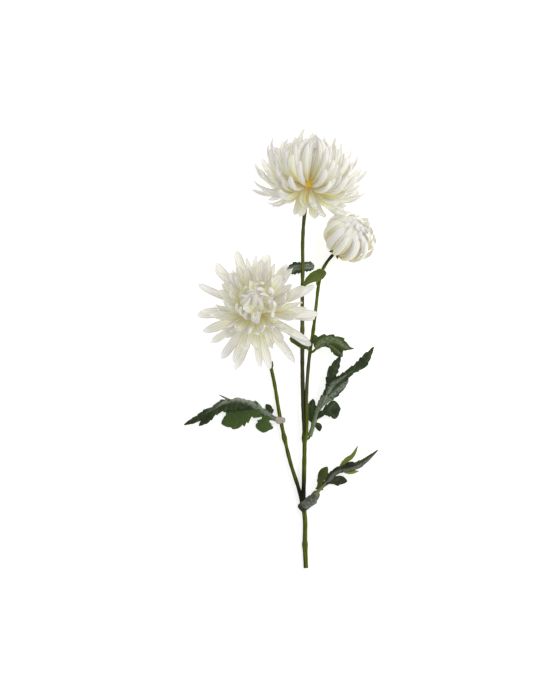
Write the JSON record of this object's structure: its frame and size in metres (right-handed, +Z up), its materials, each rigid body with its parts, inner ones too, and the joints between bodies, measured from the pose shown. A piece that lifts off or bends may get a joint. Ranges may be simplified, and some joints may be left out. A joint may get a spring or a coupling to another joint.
{
  "type": "pompon chrysanthemum",
  "caption": "Cut chrysanthemum spray lying on its side: a branched stem with open ivory flower heads of curled petals, a half-open bud and lobed dark green leaves.",
  "frame": {"origin": "centre of the bounding box, on the surface that the spray lies on", "axes": "+Y along the stem from the cut end to the top bloom, +Z up from the surface, +X across the spray towards the bud"},
  "size_m": [0.225, 0.5018, 0.1156],
  "materials": {
    "ivory_petal": "soft matte, slightly translucent",
    "leaf_green": "soft satin",
    "stem_green": "satin",
    "sepal_green": "soft satin"
  },
  "bodies": {
    "root": {"bloom_top": "ivory_petal", "bloom_left": "ivory_petal", "bud": "ivory_petal", "leaf_left": "leaf_green", "leaf_right": "leaf_green", "leaf_low": "leaf_green", "leaf_middle_right": "leaf_green", "leaf_middle_left": "leaf_green", "leaf_bud": "leaf_green", "leaf_back": "leaf_green", "calyx_top": "sepal_green", "calyx_left": "sepal_green", "calyx_bud": "sepal_green", "stem": "stem_green"}
  },
  "joints": []
}
